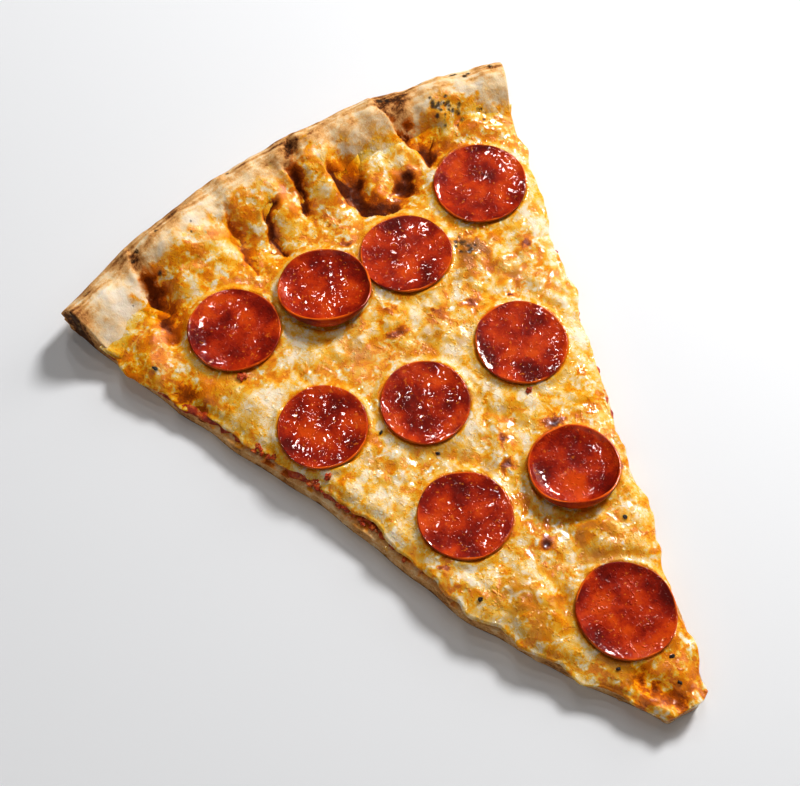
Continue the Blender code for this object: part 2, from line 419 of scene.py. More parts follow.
# Mesh of the crust: columns, rows up to the cheese's edge, rows over the rim, and rings down the side
CRUST_COLUMNS = 280
BODY_ROWS = 190
RIM_ROWS = 64
CRUST_RINGS = 12

# Depths at which a fold and a dip are in full shade, and the width of a fold's steep side
FULL_FOLD = 0.0022
FULL_DIMPLE = 0.0014
STEEP_WIDTH = 0.0008

# Brings the noise to a range of about -1 to 1
NOISE_GAIN = 1.6


# The form, as in the plain solids


def noise_at(x, y, z=0.0):
    """Smooth noise between about -1 and 1 at arrays of places."""
    shape = np.broadcast(x, y, z)
    flat = zip(*(np.broadcast_to(part, shape.shape).ravel() for part in (x, y, z)))
    values = [noise.noise(Vector(spot)) for spot in flat]
    return NOISE_GAIN * np.array(values).reshape(shape.shape)


def ripple(x, y, size, seed):
    """Noise over the plane, with waves of about that size."""
    return noise_at(x / size, y / size, seed)


def cells(x, y, size, seed):
    """Distances to the nearest and the second nearest of scattered centres, in cells of the given size."""
    spots = zip((x / size).ravel(), (y / size).ravel())
    pairs = [noise.voronoi(Vector((across, along, seed)))[0][:2] for across, along in spots]
    near, far = np.array(pairs).T
    return near.reshape(x.shape), far.reshape(x.shape)


def smooth_step(low, high, value):
    """0 below the low value, 1 above the high one, and smooth between them."""
    share = np.clip((value - low) / (high - low), 0.0, 1.0)
    return share * share * (3.0 - 2.0 * share)


def bump(distance, half_width):
    """1 at no distance, and about a third at the half-width."""
    return np.exp(-((distance / half_width) ** 2))


def polar(x, y):
    """Radius and angle of a place, from the centre of the pie and the slice's axis."""
    across = x - PIE_CENTRE_X
    along = y - PIE_CENTRE_Y
    return np.hypot(across, along), np.arctan2(across, along)


def on_pie(radius, angle):
    """The place at one radius and angle."""
    return PIE_CENTRE_X + radius * sin(angle), PIE_CENTRE_Y + radius * cos(angle)


def outer_radius(angle):
    return PIE_RADIUS + EDGE_SKEW * angle / HALF_ANGLE + 0.0007 * ripple(angle, 0.0, 0.09, 3.7)


def cheese_radius(angle):
    return outer_radius(angle) - CHEESE_EDGE + 0.0028 * ripple(angle, 0.0, 0.055, 8.2)


def left_bulge(radius):
    """How far the left cut swells out past a straight line."""
    swell = 0.0036 * bump(radius - 0.079, 0.024)
    pinch = 0.0042 * bump(radius - 0.018, 0.018)
    corner = 0.0026 * smooth_step(0.186, 0.226, radius)
    return swell - pinch - corner + 0.0007 * ripple(radius, 0.0, 0.014, 1.3)


def right_bulge(radius):
    return 0.0008 * ripple(radius, 0.0, 0.017, 5.9)


def shrinkage(radius, amount):
    """How far a layer has drawn back from the left cut, unevenly."""
    stretch = smooth_step(0.045, 0.075, radius) * (1.0 - smooth_step(0.150, 0.190, radius))
    return amount * stretch * (0.75 + 0.25 * ripple(radius, amount, 0.012, 9.3))


def place(across, along, amount=0.0, ragged=0.0):
    """A point of the outline's grid.

    Across runs from -1 (left) to 1, along from 0 (tip) to 1 (edge of the cheese) to 2 (rim).
    """
    angle = across * HALF_ANGLE
    tip = TIP_RADIUS + TIP_ROUNDING * across**4 - TIP_SKEW * across
    edge = cheese_radius(angle)
    radius = tip + np.minimum(along, 1.0) * (edge - tip)
    radius = radius + np.maximum(along - 1.0, 0.0) * (outer_radius(angle) - edge)
    left = shrinkage(radius, amount) - left_bulge(radius) + ragged
    side = np.where(across > 0.0, right_bulge(radius) - ragged, left)
    x = PIE_CENTRE_X + radius * np.sin(angle) + side * np.abs(across) ** 3
    return x, PIE_CENTRE_Y + radius * np.cos(angle)


def hollows(x, y):
    """Depth of the hollows between the lobes."""
    total = 0.0
    for angle, radius, half_width, depth in HOLLOWS:
        centre_x, centre_y = on_pie(radius, radians(angle))
        total = total + depth * bump(np.hypot(x - centre_x, y - centre_y), half_width)
    return total


def dough_top(x, y):
    """Height of the dough: nearly flat, then up the lobes of the rim and down to its waist."""
    radius, angle = polar(x, y)
    inwards = np.maximum(0.0, outer_radius(angle) - radius)
    flat = DOUGH + 0.0004 * ripple(x, y, 0.034, 0.4)
    flat = flat - TIP_THINNING * (1.0 - smooth_step(0.02, 0.07, radius))
    crest = RIM_HEIGHT + 0.0009 * ripple(x, y, 0.017, 2.1)
    foot = RIM_FOOT
    wobble = 0.5 * ripple(x, y, 0.014, 6.6)
    for centre, half_width, reach, height in LOBES:
        share = np.exp(-(((np.degrees(angle) + wobble - centre) / half_width) ** 4))
        crest = crest + height * share
        foot = foot + reach * share
    rise = np.sqrt(1.0 - (1.0 - np.minimum(inwards, RIM_CREST) / RIM_CREST) ** 2)
    outside = RIM_WAIST + (crest - RIM_WAIST) * rise
    fall = smooth_step(RIM_CREST, foot, inwards)
    inside = crest + (flat - crest) * fall - hollows(x, y) * (1.0 - 0.5 * fall)
    return np.where(inwards < RIM_CREST, outside, inside)


def cheese_bottom(x, y):
    return dough_top(x, y) + GAP + SAUCE + GAP


def cheese_seat(x, y):
    """The cheese without its relief, as it is under the pepperoni."""
    radius, angle = polar(x, y)
    margin = cheese_radius(angle) - radius
    return cheese_bottom(x, y) + CHEESE * (0.35 + 0.65 * smooth_step(0.0, 0.012, margin))


def pepperoni_gap(x, y):
    """How far a place is outside the nearest pepperoni."""
    return np.min([np.hypot(x - one[0], y - one[1]) - one[2] for one in PEPPERONI], axis=0)


# Finer relief and marks


def marks(x, y, places, fringe=0.22):
    """The strongest of some soft marks, each with an uneven outline."""
    ragged = 1.0 + fringe * ripple(x, y, 0.0036, 2.9) + 0.5 * fringe * ripple(x, y, 0.0013, 6.1)
    total = np.zeros_like(x)
    for centre_x, centre_y, half_width in places:
        total = np.maximum(total, bump(np.hypot(x - centre_x, y - centre_y) * ragged, half_width))
    return total


def resized(places, factor):
    return [(x, y, half_width * factor) for x, y, half_width in places]


def clusters():
    """Places and half-widths of the specks in the scorched clusters."""
    draw = random.Random(23)
    return [
        (draw.gauss(centre_x, spread), draw.gauss(centre_y, spread), size * draw.uniform(0.6, 1.3))
        for centre_x, centre_y, spread, count, size in SCORCHED_CLUSTERS
        for _ in range(count)
    ]


def swelling(x, y, places):
    """Height of soft swellings, and of dips where it is negative."""
    ragged = 1.0 + 0.18 * ripple(x, y, 0.005, 2.9)
    total = np.zeros_like(x)
    for centre_x, centre_y, half_width, height in places:
        total += height * bump(np.hypot(x - centre_x, y - centre_y) * ragged, half_width)
    return total


def path_distance(x, y, points):
    """Distance to a path of radii and angles in degrees, and how far to its right, seen from the tip."""
    corners = [on_pie(radius, radians(angle)) for radius, angle in points]
    nearest = np.full_like(x, 1.0)
    side = np.zeros_like(x)
    for (start_x, start_y), (end_x, end_y) in zip(corners, corners[1:]):
        run_x, run_y = end_x - start_x, end_y - start_y
        off_x, off_y = x - start_x, y - start_y
        share = np.clip((off_x * run_x + off_y * run_y) / (run_x**2 + run_y**2), 0.0, 1.0)
        distance = np.hypot(off_x - share * run_x, off_y - share * run_y)
        across = (run_x * off_y - run_y * off_x) / sqrt(run_x**2 + run_y**2)
        side = np.where(distance < nearest, across, side)
        nearest = np.minimum(nearest, distance)
    return nearest, side


def folds(x, y):
    """Depth of the folds and dips of the rim, and how far each place lies in one, from 0 to 1, which sets
    how much painted shade it gets.
    """
    depth, share = np.zeros_like(x), np.zeros_like(x)
    warp_x = x + 0.0016 * ripple(x, y, 0.008, 51.0) + 0.0006 * ripple(x, y, 0.003, 55.0)
    warp_y = y + 0.0016 * ripple(x, y, 0.008, 53.0) + 0.0006 * ripple(x, y, 0.003, 57.0)
    for points, most, half_width in FOLDS:
        distance, side = path_distance(warp_x, warp_y, points)
        gentle = smooth_step(-0.0006, 0.0010, side)
        lies = bump(distance, STEEP_WIDTH + (half_width - STEEP_WIDTH) * gentle)
        depth = depth + most * lies
        share = np.maximum(share, lies * most / FULL_FOLD)
    for centre_x, centre_y, half_width, most in DIMPLES:
        lies = bump(np.hypot(warp_x - centre_x, warp_y - centre_y), half_width)
        depth = depth + most * lies
        share = np.maximum(share, lies * min(1.0, most / FULL_DIMPLE))
    return depth, np.minimum(share, 1.0)


def dough_relief(x, y):
    """Blisters, wrinkles and lobes that fade out where the dough is flat, and the folds between them."""
    radius, angle = polar(x, y)
    inwards = outer_radius(angle) - radius
    at_rim = 1.0 - smooth_step(0.020, 0.034, inwards)
    near, _ = cells(x, y, 0.0080, 4.7)
    fine = 0.0006 * smooth_step(0.5, 0.0, near) + 0.00050 * ripple(x, y, 0.0065, 13.1)
    fine += 0.00020 * ripple(x, y, 0.0026, 3.1) + 0.00008 * ripple(x, y, 0.0011, 7.7)
    shape = fine * at_rim + swelling(x, y, HUMPS) - folds(x, y)[0]
    return shape * smooth_step(0.0, 0.003, inwards) * smooth_step(-0.0008, 0.0030, pepperoni_gap(x, y))


def coat_share(x, y):
    """1 where the rim wears a thin coat of cheese and oil, 0 where its dough is bare."""
    radius, angle = polar(x, y)
    angles, insets = zip(*COAT_EDGE)
    edge = np.interp(np.degrees(angle) + 0.4 * ripple(x, y, 0.007, 61.0), angles, insets)
    inwards = outer_radius(angle) - radius
    ragged = 0.0020 * ripple(x, y, 0.0042, 63.0) + 0.0012 * ripple(x, y, 0.0016, 65.0)
    return smooth_step(-0.0052, 0.0042, inwards - edge + ragged)


def thinning(x, y):
    """1 where the cheese thins out into bare dough, 0 away from its edge or where the rim is coated."""
    radius, angle = polar(x, y)
    to_rim = cheese_radius(angle) - radius + 0.0016 * ripple(x, y, 0.0040, 67.0)
    return (1.0 - coat_share(x, y)) * (1.0 - smooth_step(0.001, 0.008, to_rim))


def blobs(x, y):
    """The cheese's own grain: blobs, 1 in the middle and 0 between them, and strings, 1 along each."""
    warp_x = x + 0.0022 * ripple(x, y, 0.009, 11.3)
    warp_y = y + 0.0022 * ripple(x, y, 0.009, 12.7)
    near, far = cells(warp_x, warp_y, 0.0062, 3.3)
    strings = (1.0 - np.minimum(1.0, np.abs(ripple(warp_x * 1.6, warp_y * 0.7, 0.0042, 5.5)))) ** 6
    return smooth_step(0.0, 0.6, far - near), strings


def toward(tone, goal, share):
    """A tone moved part of the way to another."""
    return tone + (goal - tone) * share


def cheese_tone(x, y):
    """Tone of the cheese at each place, with the marks in it, a paler right edge that is partly painted
    sheen, and painted shade in the folds and hollows.
    """
    radius, angle = polar(x, y)
    to_rim = cheese_radius(angle) - radius
    near_rim = 1.0 - smooth_step(0.008, 0.036, to_rim + 0.006 * ripple(x, y, 0.012, 71.0))
    # Paler towards the right cut: partly the cheese's own pale colour, partly painted sheen
    right = smooth_step(0.72, 0.92, angle / HALF_ANGLE) * smooth_step(0.115, 0.140, radius)
    blob, strings = blobs(x, y)
    tip = 1.0 - smooth_step(0.030, 0.050, radius)
    tone = PLAIN_TONE + 0.10 * ripple(x, y, 0.026, 21.4) + 0.23 * ripple(x, y, 0.0085, 3.0)
    tone += 0.25 * ripple(x, y, 0.0036, 5.0) + 0.10 * ripple(x, y, 0.0016, 7.0) + 0.32 * tip
    tone += 0.26 * (0.7 - blob) + 0.14 * strings + 0.24 * near_rim - 0.12 * right
    tone -= 0.7 * np.maximum(tone - 0.50, 0.0)
    tone = toward(tone, WHITE_TONE, 0.80 * marks(x, y, WHITE, 0.6))
    tone = toward(tone, OILY_TONE, 0.80 * marks(x, y, OILY, 0.6))
    tone += 0.26 * marks(x, y, SPOTS) + 0.12 * marks(x, y, resized(SPOTS, 1.9))
    tone = toward(tone, EDGE_TONE, 0.90 * thinning(x, y))
    # Painted shade: orange at the edge of a fold, dark brown at its bottom and in the hollows
    share = folds(x, y)[1]
    tone = toward(tone, FOLD_EDGE_SHADE_TONE, 0.75 * smooth_step(0.03, 0.35, share))
    tone = toward(tone, FOLD_SHADE_TONE, 0.97 * smooth_step(0.32, 0.82, share))
    return toward(tone, HOLLOW_SHADE_TONE, 0.95 * marks(x, y, SHADED_HOLLOWS, 0.3))


# Meshes


def add_mesh(name, form, finish):
    mesh = bpy.data.meshes.new(name)
    form.to_mesh(mesh)
    form.free()
    mesh.materials.append(finish)
    item = bpy.data.objects.new(name, mesh)
    bpy.context.scene.collection.objects.link(item)
    return item


def points_of(item):
    flat = np.zeros(len(item.data.vertices) * 3)
    item.data.vertices.foreach_get("co", flat)
    return flat.reshape(-1, 3)


def move_points(item, x, y, z):
    item.data.vertices.foreach_set("co", np.stack((x, y, z), axis=1).ravel())
    item.data.update()
    item.data.shade_smooth()


def paint(item, red, green, blue, alpha=0.0):
    """Keeps up to four masks on the points, for the material to read."""
    layer = item.data.color_attributes.new("tint", "FLOAT_COLOR", "POINT")
    parts = (np.broadcast_to(part, len(item.data.vertices)) for part in (red, green, blue, alpha))
    layer.data.foreach_set("color", np.clip(np.stack(list(parts), axis=1), 0.0, 1.0).ravel())


def shell(name, columns, rows, rings, finish):
    """A grid whose border leads down through rings to a face below.

    Returns, for each point, its place across (-1 to 1), its share of the rows (0 to 1) and its ring.
    """
    form = bmesh.new()
    bmesh.ops.create_grid(form, x_segments=columns, y_segments=rows, size=1.0)
    edges = [edge for edge in form.edges if edge.is_boundary]
    for _ in range(rings):
        made = bmesh.ops.extrude_edge_only(form, edges=edges)["geom"]
        for vertex in made:
            if isinstance(vertex, bmesh.types.BMVert):
                vertex.co.z -= 1.0
        edges = [edge for edge in made if isinstance(edge, bmesh.types.BMEdge)]
    bmesh.ops.contextual_create(form, geom=edges)
    bmesh.ops.recalc_face_normals(form, faces=form.faces[:])
    item = add_mesh(name, form, finish)
    across, share, ring = points_of(item).T
    return item, across, (share + 1.0) / 2.0, -ring


def layer(name, grid, finish):
    """A shell whose first rings go down the side while the rest run inwards below."""
    item, across, share, ring = shell(name, *grid, SIDE_RINGS + LOWER_RINGS, finish)
    inset = np.maximum(ring - SIDE_RINGS, 0.0) * LOWER_INSET
    along = 0.5 + (share - 0.5) * (1.0 - 2.0 * inset)
    return item, across, along, inset, ring


def margins(across, x, y):
    """How far a place of a layer is from the nearer cut and from the cheese's edge at the rim."""
    radius, angle = polar(x, y)
    return (1.0 - np.abs(across)) * HALF_ANGLE * radius, cheese_radius(angle) - radius


# Materials


class Finish:
    """A material with a Principled shader and short ways to add nodes to it."""

    def __init__(self, name):
        self.material = bpy.data.materials.new(name)
        self.material.use_nodes = True
        self.tree = self.material.node_tree
        self.shader = self.tree.nodes["Principled BSDF"]
        self.spot = self.add("ShaderNodeTexCoord").outputs["Object"]

    def add(self, kind, **settings):
        made = self.tree.nodes.new(kind)
        for key, value in settings.items():
            setattr(made, key, value)
        return made

    def put(self, socket, value):
        """Links a socket, or sets a number or colour."""
        if isinstance(value, bpy.types.NodeSocket):
            self.tree.links.new(value, socket)
        elif isinstance(value, tuple) and len(value) == 3 and len(socket.default_value) == 4:
            socket.default_value = (*value, 1.0)
        else:
            socket.default_value = value

    def set(self, **values):
        """Puts values on the shader's sockets, named with underscores for blanks."""
        for key, value in values.items():
            self.put(self.shader.inputs[key.replace("_", " ")], value)

    def masks(self):
        """The four masks painted on the points."""
        source = self.add("ShaderNodeAttribute", attribute_name="tint")
        split = self.add("ShaderNodeSeparateColor")
        self.put(split.inputs["Color"], source.outputs["Color"])
        return split.outputs["Red"], split.outputs["Green"], split.outputs["Blue"], source.outputs["Alpha"]

    def noise(self, scale, detail=2.0, roughness=0.5, distortion=0.0):
        """Noise centred on zero."""
        made = self.add("ShaderNodeTexNoise")
        self.put(made.inputs["Vector"], self.spot)
        settings = {"Scale": scale, "Detail": detail, "Roughness": roughness, "Distortion": distortion}
        for key, value in settings.items():
            made.inputs[key].default_value = value
        return self.math("SUBTRACT", made.outputs["Fac"], 0.5)

    def math(self, operation, first, second=0.0):
        made = self.add("ShaderNodeMath", operation=operation)
        self.put(made.inputs[0], first)
        self.put(made.inputs[1], second)
        return made.outputs[0]

    def sum(self, *terms):
        """Adds sockets or numbers, each alone or in a pair with its factor."""
        total = None
        for term in terms:
            part = self.math("MULTIPLY", *term) if isinstance(term, tuple) else term
            total = part if total is None else self.math("ADD", total, part)
        return total

    def lines(self, scale, width, distortion):
        """Thin wandering lines, 1 along their middle."""
        wave = self.math("ABSOLUTE", self.noise(scale, 1.0, 0.5, distortion))
        return self.range(wave, 0.0, width, 1.0, 0.0)

    def range(self, value, low, high, start=0.0, end=1.0):
        """Goes smoothly from start to end as the value goes from low to high."""
        made = self.add("ShaderNodeMapRange", interpolation_type="SMOOTHSTEP")
        self.put(made.inputs["Value"], value)
        for key, number in (("From Min", low), ("From Max", high), ("To Min", start), ("To Max", end)):
            made.inputs[key].default_value = number
        return made.outputs["Result"]

    def ramp(self, value, stops):
        made = self.add("ShaderNodeValToRGB")
        self.put(made.inputs["Fac"], value)
        elements = made.color_ramp.elements
        while len(elements) < len(stops):
            elements.new(0.5)
        for element, (position, colour) in zip(elements, stops):
            element.position = position
            element.color = (*colour, 1.0)
        return made.outputs["Color"]

    def mix(self, share, first, second):
        made = self.add("ShaderNodeMixRGB")
        for socket, value in zip(made.inputs, (share, first, second)):
            self.put(socket, value)
        return made.outputs["Color"]

    def roughen(self, height, distance, strength):
        """Fine relief of the surface and of the oil on it."""
        made = self.add("ShaderNodeBump")
        self.put(made.inputs["Height"], height)
        made.inputs["Distance"].default_value = distance
        made.inputs["Strength"].default_value = strength
        self.set(Normal=made.outputs["Normal"], Coat_Normal=made.outputs["Normal"])


CHEESE_COLOURS = (
    (0.00, (0.90, 0.79, 0.62)),
    (0.17, (0.87, 0.645, 0.33)),
    (0.34, (0.87, 0.52, 0.060)),
    (0.50, (0.87, 0.385, 0.003)),
    (0.64, (0.80, 0.245, 0.001)),
    (0.77, (0.49, 0.110, 0.001)),
    (0.89, (0.17, 0.030, 0.001)),
    (1.00, (0.05, 0.006, 0.001)),
)
DOUGH_COLOURS = (
    (0.00, (0.86, 0.78, 0.66)),
    (0.26, (0.85, 0.65, 0.40)),
    (0.46, (0.76, 0.45, 0.19)),
    (0.64, (0.60, 0.31, 0.11)),
    (0.82, (0.32, 0.13, 0.04)),
    (1.00, (0.07, 0.025, 0.010)),
)
PEPPERONI_COLOURS = (
    (0.00, (0.66, 0.080, 0.001)),
    (0.30, (0.49, 0.036, 0.0008)),
    (0.62, (0.28, 0.011, 0.0005)),
    (1.00, (0.12, 0.003, 0.0004)),
)
SAUCE_COLOURS = (
    (0.00, (0.22, 0.010, 0.002)),
    (0.45, (0.50, 0.050, 0.005)),
    (0.75, (0.68, 0.15, 0.02)),
    (1.00, (0.78, 0.36, 0.12)),
)
OLIVE_BROWN_COLOUR = (0.52, 0.25, 0.022)
SCORCHED_COLOUR = (0.030, 0.018, 0.012)
MEAT_EDGE_COLOUR = (0.80, 0.15, 0.003)
FAT_COLOUR = (0.80, 0.24, 0.02)
PEPPER_COLOUR = (0.025, 0.016, 0.011)
FLOOR_COLOUR = (0.80, 0.83, 0.88)


def cheese_look(finish, tone):
    """Colour of the cheese, and of the rim's coat, from its painted tone, with grain and orange strings."""
    coarse = finish.noise(260.0, 2.0, 0.5, 0.6)
    grain = finish.sum((coarse, 0.9), (finish.noise(800.0, 2.0, 0.55, 0.3), 0.5))
    strings = finish.math("MAXIMUM", finish.lines(210.0, 0.034, 2.2), finish.lines(470.0, 0.036, 1.5))
    share = finish.range(tone, 0.66, 0.84, 1.0, 0.15)
    drawn = finish.math("MULTIPLY", strings, finish.range(tone, 0.40, 0.62, 0.19, 0.05))
    mottled = finish.math("MULTIPLY", grain, finish.range(tone, 0.3, 0.5, 1.2, 2.6))
    cream = finish.math("MINIMUM", mottled, 0.06)
    toned = finish.sum(tone, (cream, share), drawn)
    return finish.ramp(toned, CHEESE_COLOURS), grain, strings


def cheese_finish():
    finish = Finish("melted_cheese")
    tone, olive_mask, wet, scorch = finish.masks()
    colour, grain, strings = cheese_look(finish, tone)
    olive_share = finish.range(finish.sum(olive_mask, (grain, 0.9)), 0.10, 0.85, 0.0, 0.5)
    colour = finish.mix(olive_share, colour, OLIVE_BROWN_COLOUR)
    scorched = finish.range(finish.sum(scorch, (grain, 1.6)), 0.35, 0.95, 0.0, 0.9)
    colour = finish.mix(scorched, colour, SCORCHED_COLOUR)
    finish.set(Base_Color=colour, Roughness=finish.range(wet, 0.0, 1.0, 0.50, 0.32))
    finish.set(Coat_Weight=finish.range(wet, -0.1, 0.7, 0.0, 1.0), Coat_Roughness=0.04)
    finish.set(Specular_IOR_Level=0.06, Subsurface_Weight=0.2, Subsurface_Scale=1.0)
    finish.set(Subsurface_Radius=(0.0030, 0.0012, 0.0003))
    glints = finish.range(finish.noise(760.0, 1.0), 0.07, 0.25)
    finish.roughen(finish.sum((grain, 0.3), (strings, 0.15), (glints, 0.7)), 0.00024, 0.8)
    return finish.material


def dough_finish():
    finish = Finish("baked_dough")
    baked, tone, coat, scorch = finish.masks()
    coated, grain, _ = cheese_look(finish, tone)
    fine = finish.noise(1500.0, 3.0, 0.7)
    shift = finish.sum((finish.noise(260.0, 4.0, 0.65, 0.5), 0.6), (fine, 0.5))
    mottled = finish.sum(baked, (shift, finish.range(baked, 0.1, 0.45, 0.3, 1.5)))
    colour = finish.ramp(mottled, DOUGH_COLOURS)
    covered = finish.range(finish.sum(coat, (grain, 1.9)), 0.12, 0.88)
    colour = finish.mix(covered, colour, coated)
    scorched = finish.range(finish.sum(scorch, (shift, 1.8)), 0.40, 0.95, 0.0, 0.95)
    colour = finish.mix(scorched, colour, SCORCHED_COLOUR)
    finish.set(Base_Color=colour, Roughness=finish.range(covered, 0.0, 1.0, 0.72, 0.42))
    oil = finish.math("MULTIPLY", covered, finish.range(tone, 0.58, 0.78, 0.8, 0.0))
    finish.set(Coat_Weight=oil, Coat_Roughness=0.05)
    finish.set(Specular_IOR_Level=0.06, Subsurface_Weight=0.10, Subsurface_Scale=1.0)
    finish.set(Subsurface_Radius=(0.0020, 0.0011, 0.0005))
    glints = finish.math("MULTIPLY", finish.range(finish.noise(760.0, 1.0), 0.07, 0.25), covered)
    finish.roughen(finish.sum((shift, 0.55), (fine, 0.3), (glints, 0.45)), 0.00034, 0.8)
    return finish.material


def sauce_finish():
    finish = Finish("tomato_sauce")
    pulp = finish.noise(650.0, 3.0, 0.6)
    finish.set(Base_Color=finish.ramp(finish.sum((pulp, 2.2), 0.5), SAUCE_COLOURS), Roughness=0.35)
    finish.set(Specular_IOR_Level=0.2, Coat_Weight=0.6, Coat_Roughness=0.07)
    finish.roughen(pulp, 0.0006, 0.9)
    return finish.material


def pepperoni_finish():
    finish = Finish("pepperoni_meat")
    rim, dark, top, _ = finish.masks()
    mottle = finish.noise(420.0, 3.0, 0.55, 0.3)
    fine = finish.noise(1600.0, 2.0, 0.6)
    colour = finish.ramp(finish.sum(dark, (mottle, 0.8), (fine, 0.5)), PEPPERONI_COLOURS)
    edge = finish.range(finish.sum(rim, (mottle, 0.6)), 0.40, 0.95)
    colour = finish.mix(edge, colour, MEAT_EDGE_COLOUR)
    fat = finish.math("MULTIPLY", finish.range(finish.noise(900.0, 1.0), 0.16, 0.24, 0.0, 0.5), top)
    colour = finish.mix(fat, colour, FAT_COLOUR)
    finish.set(Base_Color=colour, Roughness=0.5, Specular_IOR_Level=0.05)
    finish.set(Coat_Weight=0.62, Coat_Roughness=0.03)
    glints = finish.range(finish.noise(780.0, 1.0), 0.09, 0.25)
    sparks = finish.range(finish.noise(1500.0, 1.0), 0.13, 0.26)
    finish.roughen(finish.sum((mottle, 0.12), (glints, 0.42), (sparks, 0.2)), 0.00026, 0.9)
    return finish.material


def speck_finish():
    finish = Finish("pepper_speck")
    finish.set(Base_Color=PEPPER_COLOUR, Roughness=0.5)
    finish.roughen(finish.noise(2500.0), 0.0004, 0.8)
    return finish.material


# The slice


def cheese_surface(x, y):
    """Height of the cheese with all its relief."""
    gap = pepperoni_gap(x, y)
    clear = smooth_step(0.0003, 0.0050, gap)
    blob, strings = blobs(x, y)
    grainy = smooth_step(-0.25, 0.45, ripple(x, y, 0.022, 15.2))
    waves = 0.0006 * ripple(x, y, 0.016, 4.4) + 0.0004 * ripple(x, y, 0.0075, 7.1)
    fine = 0.00036 * (blob - 0.6) + 0.00022 * grainy * ripple(x, y, 0.0027, 8.1) + 0.00007 * strings
    fine += 0.00004 * ripple(x, y, 0.0016, 9.9)
    pits = 0.0007 * marks(x, y, resized(SPOTS, 0.45)) + 0.0008 * marks(x, y, SHADED_HOLLOWS)
    relief = (waves + swelling(x, y, BLISTERS) + swelling(x, y, SWELLINGS)) * clear
    relief += fine * (0.25 + 0.75 * clear) + 0.0005 * marks(x, y, SPOTS) - pits
    ring = 0.0008 * bump(gap - 0.0004, 0.0013) * smooth_step(-0.0012, 0.0004, gap)
    ring *= 1.0 + 0.7 * ripple(x, y, 0.006, 23.0)
    return cheese_seat(x, y) + relief + ring + 0.8 * dough_relief(x, y)


def make_cheese():
    """The melted layer: blobs of pale cheese with oil between them, browned spots and blisters."""
    item, across, along, inset, ring = layer("cheese_melt", CHEESE_GRID, cheese_finish())
    flow = PIE_RADIUS * along
    scallops = 0.0013 * noise_at(flow / 0.0100, across * 3.0, 5.5)
    scallops += 0.0003 * noise_at(flow / 0.0036, across * 3.0, 7.5)
    reach = 0.0026 * (1.0 - smooth_step(0.074, 0.094, flow)) * smooth_step(0.030, 0.050, flow)
    x, y = place(across * (1.0 - inset), along, CHEESE_SHRINKAGE, scallops - reach * (across < 0.0))
    to_cut, to_rim = margins(across, x, y)

    dough = dough_top(x, y) + dough_relief(x, y)
    sag = 0.0014 * (1.0 - smooth_step(0.0, 0.0060, to_cut)) ** 2
    sink = (1.0 - smooth_step(0.0, 0.0095, to_rim)) ** 1.5
    high = cheese_surface(x, y) - sag
    high = high + (dough - 0.0006 - high) * sink
    low = np.minimum(cheese_bottom(x, y), high) - 0.0004
    down = np.clip(ring / SIDE_RINGS, 0.0, 1.0)
    lip = np.where((ring > 0) & (ring <= SIDE_RINGS), 0.0006 * np.sin(pi * down), 0.0)
    side = np.where(across > 0.0, 1.0, -1.0)
    move_points(item, x + lip * side, y, high + (low - high) * down)

    gap = pepperoni_gap(x, y)
    ring_line = bump(gap - 0.0002, 0.0005)
    patchy = smooth_step(-0.5, 0.5, ripple(x, y, 0.0065, 85.0))
    tone = toward(cheese_tone(x, y), PALE_RING_TONE, 0.70 * patchy * bump(gap - 0.0016, 0.0010))
    tone = toward(tone, OIL_RING_TONE, 0.80 * ring_line)
    wet = 0.40 + 0.4 * ripple(x, y, 0.011, 81.0) + 0.9 * (tone - 0.35) + 0.6 * ring_line
    wet -= 1.4 * smooth_step(0.4, 0.9, folds(x, y)[1]) + 1.2 * marks(x, y, SHADED_HOLLOWS) + 1.2 * thinning(x, y)
    paint(item, tone, marks(x, y, OLIVE_PATCHES, 0.5), wet, marks(x, y, clusters()))
    return item


